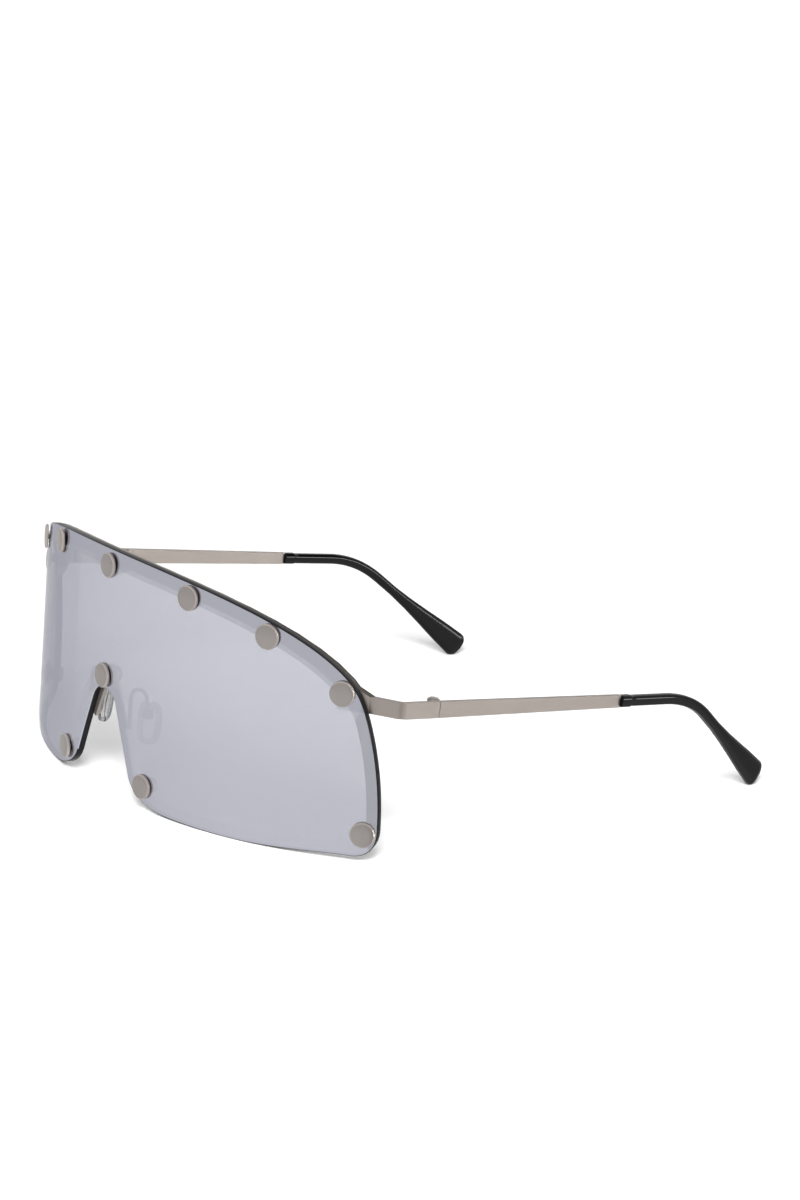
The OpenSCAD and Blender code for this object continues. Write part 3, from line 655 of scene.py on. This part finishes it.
def flat_lens():
    """The lens laid flat: x round the curve, y into its thickness, z up"""
    s = settings("lens")
    bm = bmesh.new()
    line, rim, back = (chain(bm, points) for points in lens_lines())
    for loops, kind in ((line + rim, BORDER), (rim + back, RIM)):
        for face in bmesh.ops.bridge_loops(bm, edges=loops)["faces"]:
            face.material_index = kind
    bmesh.ops.mirror(bm, geom=bm.verts[:] + bm.edges[:] + bm.faces[:], axis="X", merge_dist=WELD)
    for kind, depth in ((FRONT, 0), (INNER, s.thickness)):
        open_edges = [e for e in bm.edges if e.is_boundary and abs(e.verts[0].co.y - depth) < WELD]
        bmesh.ops.edgeloop_fill(bm, edges=open_edges, mat_nr=kind)
    bmesh.ops.recalc_face_normals(bm, faces=bm.faces)
    bevels = (((BORDER, RIM), s.arris, 3, ARRIS), ((INNER, RIM), s.arris / 2, 2, RIM))
    for kinds, width, segments, kind in bevels:
        bmesh.ops.bevel(bm, geom=loop_between(bm, kinds), offset=width, offset_type="OFFSET",
                        affect="EDGES", segments=segments, profile=0.5, material=kind,
                        clamp_overlap=True)
    for face in bm.faces:
        place = face.calc_center_median()
        at_notch = abs(place.x) <= s.notch_foot_out and place.z <= s.notch_height + MM
        if face.material_index == ARRIS and not at_notch:
            face.material_index = RIM
    return bm


def drill(bm, places):
    """The flat lens with a hole at each place"""
    s = settings("lens")
    plate = bpy.data.objects.new("plate", bpy.data.meshes.new("plate"))
    bm.to_mesh(plate.data)
    bm.free()
    drills = bmesh.new()
    for out, up, _, _ in places:
        bmesh.ops.create_cone(drills, cap_ends=True, segments=settings("studs").turns, radius1=s.hole,
                              radius2=s.hole, depth=4 * s.thickness,
                              matrix=Matrix.Translation((out, 0, up)) @ TO_UPRIGHT)
    for face in drills.faces:
        face.material_index = RIM
    tool = bpy.data.objects.new("drills", bpy.data.meshes.new("drills"))
    drills.to_mesh(tool.data)
    drills.free()
    for obj in (plate, tool):
        bpy.context.scene.collection.objects.link(obj)
        for index in range(INNER + 1):
            obj.data.materials.append(None)
    cut = plate.modifiers.new("Holes", "BOOLEAN")
    cut.object = tool
    cut.solver = "EXACT"
    bpy.context.view_layer.update()
    ready = plate.evaluated_get(bpy.context.evaluated_depsgraph_get())
    drilled = bpy.data.meshes.new_from_object(ready)
    result = bmesh.new()
    result.from_mesh(drilled)
    for mesh in (plate.data, tool.data, drilled):
        bpy.data.meshes.remove(mesh)
    if len(result.faces) < len(places) * settings("studs").turns:
        raise RuntimeError("the stud holes couldn't be drilled")
    return result


def wrap(bm):
    """Cuts the flat lens into strips and wraps it about its axis: returns the corners' normals"""
    s = settings("lens")
    strips = int(s.width / s.facet)
    for k in range(1, strips):
        bmesh.ops.bisect_plane(bm, geom=bm.verts[:] + bm.edges[:] + bm.faces[:], dist=WELD / 2,
                               plane_co=((k / strips - 0.5) * s.width, 0, 0), plane_no=(1, 0, 0))
    bm.normal_update()
    normals = []
    for face in bm.faces:
        for vert in face.verts:
            alike = (f.normal for f in vert.link_faces if f.material_index == face.material_index
                     and f.normal.dot(face.normal) > 0.5)
            turn = Matrix.Rotation(vert.co.x / s.radius, 3, "Z")
            normals.append(turn @ sum(alike, Vector()).normalized())
    for vert in bm.verts:
        turn, radius = vert.co.x / s.radius, s.radius - vert.co.y
        vert.co = (radius * math.sin(turn), s.radius - radius * math.cos(turn), vert.co.z)
    return normals


class EYEWEAR_OT_lens(Operator):
    """Model the wrapped lens with its sloping border, blackened rim and stud holes"""

    bl_idname = "eyewear.lens"
    bl_label = "Lens"

    def execute(self, context):
        bm = drill(flat_lens(), seats("top_studs") + seats("lower_studs") + seats("bridge_stud"))
        normals = wrap(bm)
        place = lens_frame()
        bmesh.ops.transform(bm, verts=bm.verts, matrix=place)
        materials = [mirror_coat(), border_coat(), arris_coat(), lens_rim(), lens_inner()]
        lens = new_piece("shield_lens_coated", bm, materials, "front", ["shield_lens"],
                         smooth=None)
        lens.data.normals_split_custom_set([place.to_3x3() @ normal for normal in normals])
        return {"FINISHED"}


# Studs and nuts

def stud_profile(lowest, highest):
    """Half section of a stud: (radius, height) from its end to the middle of its face"""
    s = settings("studs")
    under = highest - s.head_height
    return [(0, lowest), (s.shank_radius, lowest), (s.shank_radius, under), (s.head_radius, under),
            (s.head_radius, highest - s.chamfer), (s.head_radius - s.chamfer, highest),
            (s.head_radius / 2, highest + 0.75 * s.crown), (0, highest + s.crown)]


class EYEWEAR_OT_studs(Operator):
    """Turn the studs that hold the lens"""

    bl_idname = "eyewear.studs"
    bl_label = "Studs"

    def execute(self, context):
        s = settings("studs")
        for node in ("top_studs", "lower_studs", "bridge_stud"):
            bm = bmesh.new()
            for out, up, lowest, highest in seats(node):
                ring = highest - s.chamfer
                turned(bm, stud_profile(lowest, highest), s.turns, lens_frame() @ on_lens(out, up),
                       ((highest - WELD, highest + s.crown), (ring, highest - WELD), (lowest - WELD, ring)))
            round_edges(bm, 0.05 * MM)
            # Face, chamfer ring and side wall get three tones of one nickel: the chamfer's is a painted highlight,
            # the wall's painted light
            materials = [stud_face(), stud_chamfer(), stud_wall()]
            new_piece(node + "_turned", bm, materials, "front", [node])
        bm = rounded_copy("back_nuts", 0.06 * MM)
        new_piece("back_nuts_turned", bm, [stud_face()], "front", ["back_nuts"])
        dress("lens_bushes", clear_silicone())
        return {"FINISHED"}


class EYEWEAR_OT_strips(Operator):
    """Round the edges of the brow bar, the end pieces and the temples"""

    bl_idname = "eyewear.strips"
    bl_label = "Strips"

    def execute(self, context):
        pieces = [("brow_bar", "front", "x")]
        pieces += [("end_piece_" + side, "front", "y") for side in SIDES]
        pieces += [("temple_" + side, "temple_" + side, "y") for side in SIDES]
        for node, body, way in pieces:
            bm = rounded_copy(node, 0.12 * MM)
            new_piece(node + "_brushed", bm, [strip_nickel(way)], body, [node])
        return {"FINISHED"}


class EYEWEAR_OT_hinges(Operator):
    """Round the edges of the hinge halves and their screws"""

    bl_idname = "eyewear.hinges"
    bl_label = "Hinges"

    def execute(self, context):
        for side in SIDES:
            for node, body in (("hinge_front_", "front"), ("hinge_temple_", "temple_" + side)):
                bm = rounded_copy(node + side, 0.08 * MM)
                new_piece(node + side + "_milled", bm, [hinge_nickel()], body,
                          [node + side])
            bm = rounded_copy("hinge_screw_" + side, 0.05 * MM)
            new_piece("hinge_screw_" + side + "_slotted", bm, [screw_steel()], "front",
                      ["hinge_screw_" + side])
        return {"FINISHED"}


# Ear tips

def tip_rings():
    """Rings of a tip in the hinge's frame: (middle, way, thickness, height)"""
    s = settings("tips")
    down = Vector((-math.sin(s.inward) * math.cos(s.bend), math.cos(s.inward) * math.cos(s.bend),
                   -math.sin(s.bend)))
    along = Vector((0, 1, 0))
    start = Vector((s.hinge_off, s.start, 0))
    corner = Vector((s.hinge_off, s.start + s.straight, 0))
    cut_in, cut_out, end = corner - s.cut * along, corner + s.cut * down, corner + s.drop * down
    swell_shares = (0, 0, 0.17, 0.45, 0.77, 1)
    rings, grip = [], 2 * s.collar_step
    far = s.collar / MM
    collar_stops = ((0, 0.7), (0.12, 0.93), (0.3, 1), (far - 0.25, 1), (far - 0.08, 0.9), (far, 0.6),
                    (far + 0.06, 0.2), (far + 0.15, 0))
    for at, share in collar_stops:
        place = start + at * MM * along
        rings.append((place, along, s.thickness + grip * share, s.height + grip * share))
    for k in range(1, 9):
        share = k / 8
        place = start + (s.collar + (s.straight - s.cut - s.collar) * share) * along
        rings.append((place, along, s.thickness, s.height))
    for k in range(1, 17):
        t = k / 16
        place = (1 - t) ** 2 * cut_in + 2 * (1 - t) * t * corner + t ** 2 * cut_out
        rings.append((place, ((1 - t) * along + t * down).normalized(), s.thickness, s.height))
    for k in range(1, 41):
        t = k / 40
        at = t * (len(swell_shares) - 1)
        low = min(int(at), len(swell_shares) - 2)
        soft = at - low
        swell = swell_shares[low] + soft * (swell_shares[low + 1] - swell_shares[low])
        height = s.height + (s.paddle - s.height) * swell
        rings.append((cut_out + t * (end - cut_out), down, s.thickness, height))
    for k in range(1, 13):
        turn = math.radians(90 * k / 12)
        rings.append((end + s.corner * math.sin(turn) * down, down,
                      s.thickness * math.sqrt(1 - 0.75 * math.sin(turn) ** 2),
                      s.paddle - 2 * s.corner * (1 - math.cos(turn))))
    return rings


def ring_matrix(middle, way, thickness, height):
    """Places a unit ring across the way: x over the thickness, y up"""
    up = (Vector((0, 0, 1)) - way.z * way).normalized()
    across = way.cross(up)
    place = axes_frame(middle, across, up, way)
    return place @ Matrix.Diagonal((thickness / 2, height / 2, 1, 1))


def swept_tip():
    """A tip swept by extruding a ring along its way, in the hinge's frame"""
    s = settings("tips")
    bm = bmesh.new()
    rings = [ring_matrix(*ring) for ring in tip_rings()]
    first = bmesh.ops.create_circle(bm, cap_ends=True, segments=40, radius=1)["verts"]
    for vert in first:
        for axis in range(2):
            vert.co[axis] = math.copysign(abs(vert.co[axis]) ** 0.7, vert.co[axis])
    cap = bm.faces[:][0]
    bmesh.ops.transform(bm, verts=first, matrix=rings[0])
    edges, before = cap.edges[:], rings[0]
    for ring in rings[1:]:
        made = bmesh.ops.extrude_edge_only(bm, edges=edges)["geom"]
        verts = [g for g in made if isinstance(g, bmesh.types.BMVert)]
        edges = [g for g in made if isinstance(g, bmesh.types.BMEdge)]
        bmesh.ops.transform(bm, verts=verts, matrix=ring @ before.inverted())
        before = ring
    bmesh.ops.edgeloop_fill(bm, edges=edges)
    bmesh.ops.inset_region(bm, faces=[cap], thickness=0.55 * MM)
    socket = bmesh.ops.extrude_discrete_faces(bm, faces=[cap])["faces"]
    bmesh.ops.translate(bm, verts=socket[0].verts, vec=(0, s.core_length, 0))
    bmesh.ops.remove_doubles(bm, verts=bm.verts, dist=WELD)
    bmesh.ops.recalc_face_normals(bm, faces=bm.faces)
    return bm


class EYEWEAR_OT_ear_tips(Operator):
    """Sweep the black ear tips"""

    bl_idname = "eyewear.ear_tips"
    bl_label = "Ear Tips"

    def execute(self, context):
        left = swept_tip()
        bmesh.ops.transform(left, verts=left.verts, matrix=hinge_frame())
        right = mirrored(left)
        for side, bm in zip(SIDES, (left, right)):
            new_piece(f"temple_tip_{side}_moulded", bm, [black_acetate()], "temple_" + side,
                      ["temple_tip_" + side], smooth=math.radians(50))
        return {"FINISHED"}


# Nose parts

def moulded_pad():
    """A pad with a thick rim round a thin web, and its lug, in the frame of its pivot"""
    s = settings("pads")
    bm = bmesh.new()
    body = bmesh.ops.create_circle(bm, cap_ends=True, segments=48, radius=1)["verts"]
    for vert in body:
        x, y = (math.copysign(abs(c) ** 0.65, c) for c in vert.co[:2])
        vert.co = (-s.pivot_out - s.thickness, x * s.width / 2, y * s.height / 2 - s.pivot_up)
    made = bmesh.ops.extrude_face_region(bm, geom=bm.faces[:])["geom"]
    bmesh.ops.translate(bm, verts=[g for g in made if isinstance(g, bmesh.types.BMVert)],
                        vec=(s.thickness, 0, 0))
    bmesh.ops.recalc_face_normals(bm, faces=bm.faces)
    round_edges(bm, s.thickness * 0.36, segments=6)
    caps = [f for f in bm.faces if len(f.verts) > 4]
    for cap, depth in zip(sorted(caps, key=lambda f: f.calc_center_median().x), (s.web_depth, 0)):
        bmesh.ops.inset_region(bm, faces=[cap], thickness=s.rim_width, depth=0)
        bmesh.ops.inset_region(bm, faces=[cap], thickness=s.rim_width / 3, depth=-depth)
        # The web takes the clear silicone and the rim the darker copy with its painted shade
        cap.material_index = 1
    lug = bmesh.new()
    bmesh.ops.create_cone(lug, cap_ends=True, segments=32, radius1=s.lug_radius, radius2=s.lug_radius,
                          depth=s.lug_width, matrix=TO_UPRIGHT)
    for vert in lug.verts:
        if vert.co.x < WELD:
            vert.co.x = -s.pivot_out - 0.1 * MM
            vert.co.z = math.copysign(s.lug_radius, vert.co.z)
    bmesh.ops.remove_doubles(lug, verts=lug.verts, dist=WELD)
    round_edges(lug, 0.12 * MM)
    mesh = bpy.data.meshes.new("lug")
    lug.to_mesh(mesh)
    lug.free()
    bm.from_mesh(mesh)
    bpy.data.meshes.remove(mesh)
    return bm


class EYEWEAR_OT_nose_parts(Operator):
    """Model the clear pads and finish the bracket, arms, boxes and screws"""

    bl_idname = "eyewear.nose_parts"
    bl_label = "Nose Parts"

    def execute(self, context):
        left = moulded_pad()
        bmesh.ops.transform(left, verts=left.verts, matrix=pad_frame())
        right = mirrored(left)
        for side, bm in zip(SIDES, (left, right)):
            new_piece(f"nose_pad_{side}_moulded", bm, [rim_silicone(), clear_silicone()],
                      "pad_" + side, ["nose_pad_" + side], smooth=math.radians(40))
            dress("pad_arm_" + side, hinge_nickel())
            dress("pad_screw_" + side, screw_steel())
            bm = rounded_copy("pad_box_" + side, 0.06 * MM)
            new_piece(f"pad_box_{side}_pressed", bm, [hinge_nickel()], "front",
                      ["pad_box_" + side])
        bm = rounded_copy("nose_bracket", 0.1 * MM)
        new_piece("nose_bracket_pressed", bm, [hinge_nickel()], "front", ["nose_bracket"])
        return {"FINISHED"}


# Stage

# Light panel before the lens: from, to and rounding, in degrees of azimuth and of height
PANEL_AZIMUTH, PANEL_HEIGHT = (-75, 42, 6), (-60, -12.8, 0.25)
PANEL_FADE = (0.8, 1.2)
# Tones that mirrored rays see: from and to in degrees, then the tones there
PANEL_ACROSS, PANEL_LOW = (-80, -5, 0.84, 1), (-17, -14.5, 0.93, 1.02)
REAR_LEFT, BEHIND = (-130, -80, 0.7, 0.8), (140, 160, 1, 0.4)
RIGHT_FROM, RIGHT_SIDE = 40, (60, 95, -0.14, 0.18)
# Dark flag over the temples, in parts of a direction's length: rise, middle and reach to the rear, side
FLAG_RISE, FLAG_REARWARD, FLAG_SIDE, FLAG_TONE = (0.28, 0.36), (0.5, 0.16), -0.6, 0.05
# Bright tube that draws the line along the ear tips: middle and reach of its rise and of its azimuth
TUBE_RISE, TUBE_AZIMUTH, TUBE_TONE = (0.12, 0.045), (127, 14), 20
PLAIN_TONE = 0.42
WHITE = (1, 1, 1, 1)


def panel_share(shader, azimuth, height):
    """1 inside the light panel, whose corners are rounded, and 0 outside"""
    outside = []
    for way, (low, high, corner) in ((azimuth, PANEL_AZIMUTH), (height, PANEL_HEIGHT)):
        middle, half = math.radians((low + high) / 2), math.radians((high - low) / 2 - corner)
        away = shader.maths("ABSOLUTE", shader.maths("SUBTRACT", way, middle))
        beyond = shader.maths("MAXIMUM", shader.maths("SUBTRACT", away, half), 0)
        outside.append(shader.maths("DIVIDE", beyond, math.radians(corner)))
    both = shader.add("CombineXYZ", {"X": outside[0], "Y": outside[1]})
    far = shader.add("VectorMath", {0: both.outputs[0]}, operation="LENGTH")
    return shader.ramp(far.outputs["Value"], *PANEL_FADE, 1, 0, interpolation_type="SMOOTHSTEP")


def mirrored_tone(shader):
    """What mirrored rays see: a light panel, dimmer sides, a dark flag and a bright tube"""
    way = shader.add("SeparateXYZ", {"Vector": shader.add("TexCoord").outputs["Generated"]}).outputs
    azimuth = shader.maths("ARCTAN2", way["X"], shader.maths("MULTIPLY", way["Y"], -1))
    height = shader.maths("ARCSINE", way["Z"])
    lit = shader.maths("MULTIPLY", shader.ramp_degrees(azimuth, *PANEL_ACROSS),
                       shader.ramp_degrees(height, *PANEL_LOW))
    right = shader.maths("GREATER_THAN", azimuth, math.radians(RIGHT_FROM))
    dim = shader.maths("MULTIPLY_ADD", shader.ramp_degrees(azimuth, *RIGHT_SIDE), right,
                       shader.ramp_degrees(azimuth, *REAR_LEFT))
    dim = shader.maths("MULTIPLY", dim, shader.ramp_degrees(azimuth, *BEHIND))
    flag = shader.maths("MULTIPLY", shader.ramp(way["Z"], *FLAG_RISE, 0, 1),
                        shader.maths("COMPARE", way["Y"], *FLAG_REARWARD))
    flag = shader.maths("MULTIPLY", flag, shader.maths("GREATER_THAN", way["X"], FLAG_SIDE))
    dim = shader.maths("MULTIPLY", dim, shader.vary(flag, 1, FLAG_TONE))
    facing = shader.maths("COMPARE", azimuth, *(math.radians(side) for side in TUBE_AZIMUTH))
    tube = shader.maths("MULTIPLY", shader.maths("COMPARE", way["Z"], *TUBE_RISE), facing)
    dim = shader.maths("MULTIPLY_ADD", tube, TUBE_TONE, dim)
    gap = shader.maths("SUBTRACT", lit, dim)
    return shader.maths("MULTIPLY_ADD", gap, panel_share(shader, azimuth, height), dim)


def straight_views(shader, path):
    """1 for what the camera sees directly or through clear pieces"""
    return shader.maths("MAXIMUM", path["Is Camera Ray"], path["Is Transmission Ray"])


def white_studio():
    """A world that the camera sees as plain white, and mirrored rays as panels"""
    world = bpy.data.worlds.new("studio")
    bpy.context.scene.world = world
    world.use_nodes = True
    world.node_tree.nodes.clear()
    shader = Shader(world.node_tree)
    path = shader.add("LightPath").outputs
    plain = shader.vary(straight_views(shader, path), PLAIN_TONE, 1)
    views = [shader.add("Background", {"Color": WHITE, "Strength": tone}).outputs[0]
             for tone in (plain, mirrored_tone(shader))]
    mixed = shader.add("MixShader", {0: path["Is Glossy Ray"], 1: views[0], 2: views[1]})
    shader.add("OutputWorld", {"Surface": mixed.outputs[0]})


def floor_white():
    """White sweep that keeps the object's shadow"""
    material, shader = new_material("white_sweep")
    views = straight_views(shader, shader.add("LightPath").outputs)
    away = shader.add("VectorMath", {0: shader.object_place()}, operation="LENGTH").outputs["Value"]
    glow = shader.add("Emission", {"Color": WHITE, "Strength": shader.ramp(away, 0.25, 0.9, 0.06, 0.7)})
    shade = shader.add("BsdfDiffuse", {"Color": (0.9, 0.9, 0.9, 1)}).outputs[0]
    both = shader.add("AddShader", {0: glow.outputs[0], 1: shade})
    shader.close(shader.add("MixShader", {0: views, 1: shade, 2: both.outputs[0]}).outputs[0])
    return material


# Key and fill: place, size in metres and watts
LAMPS = {"key": ((0.8, -0.7, 0.8), 0.5, 26), "fill": ((0.3, 0.3, 1.2), 1, 3)}


class EYEWEAR_OT_stage(Operator):
    """Set the floor, the lamps and the camera"""

    bl_idname = "eyewear.stage"
    bl_label = "Stage"

    def execute(self, context):
        s = settings("studio")
        bpy.ops.mesh.primitive_plane_add(size=12, location=(0, 0, 0))
        floor = context.object
        floor.name = "white_floor"
        floor.data.materials.append(floor_white())
        floor.visible_glossy = False
        white_studio()
        for name, (place, size, watts) in LAMPS.items():
            lamp = bpy.data.lights.new(name, "AREA")
            lamp.size = size
            lamp.energy = watts
            stand = bpy.data.objects.new(name, lamp)
            stand.location = place
            stand.rotation_euler = (-Vector(place)).to_track_quat("-Z", "Y").to_euler()
            stand.visible_glossy = False
            context.scene.collection.objects.link(stand)
        camera = bpy.data.objects.new("camera", bpy.data.cameras.new("camera"))
        context.scene.collection.objects.link(camera)
        camera.data.lens = s.focal
        camera.data.sensor_width = FILM_SIDE
        back = Vector((math.sin(s.azimuth) * math.cos(s.elevation),
                       -math.cos(s.azimuth) * math.cos(s.elevation), math.sin(s.elevation)))
        level = Vector((math.cos(s.azimuth), math.sin(s.azimuth), 0))
        right = math.cos(s.roll) * level + math.sin(s.roll) * back.cross(level)
        place = Vector(s.target) + s.distance * back
        camera.matrix_world = axes_frame(place, right, back.cross(right), back)
        camera.data.clip_start = 10 * MM
        context.scene.camera = camera
        context.scene.view_settings.view_transform = "Standard"
        return {"FINISHED"}


STEPS = (EYEWEAR_OT_stage, EYEWEAR_OT_lens, EYEWEAR_OT_studs, EYEWEAR_OT_strips, EYEWEAR_OT_hinges,
         EYEWEAR_OT_ear_tips, EYEWEAR_OT_nose_parts)
GROUPS = {"lens": LensSizes, "studs": StudSizes, "tips": TipSizes, "pads": PadSizes, "finishes": Finishes,
          "studio": StudioSizes}


class EYEWEAR_PT_sunglasses(Panel):
    """Sizes and steps of the sunglasses"""

    bl_label = "Shield Sunglasses"
    bl_space_type = "VIEW_3D"
    bl_region_type = "UI"
    bl_category = "Sunglasses"

    def draw(self, context):
        for step in STEPS:
            self.layout.operator(step.bl_idname)
        for name, group in GROUPS.items():
            box = self.layout.box()
            box.label(text=name.capitalize())
            for prop in group.__annotations__:
                box.prop(getattr(context.scene, "sunglasses_" + name), prop)


CLASSES = (*GROUPS.values(), *STEPS, EYEWEAR_PT_sunglasses)


def register():
    for cls in CLASSES:
        bpy.utils.register_class(cls)
    for name, group in GROUPS.items():
        setattr(bpy.types.Scene, "sunglasses_" + name, PointerProperty(type=group))


def unregister():
    for name in GROUPS:
        delattr(bpy.types.Scene, "sunglasses_" + name)
    for cls in reversed(CLASSES):
        bpy.utils.unregister_class(cls)


def main():
    register()
    bpy.ops.eyewear.stage()
    bpy.ops.eyewear.lens()
    bpy.ops.eyewear.studs()
    bpy.ops.eyewear.strips()
    bpy.ops.eyewear.hinges()
    bpy.ops.eyewear.ear_tips()
    bpy.ops.eyewear.nose_parts()


if __name__ == "__main__":
    main()
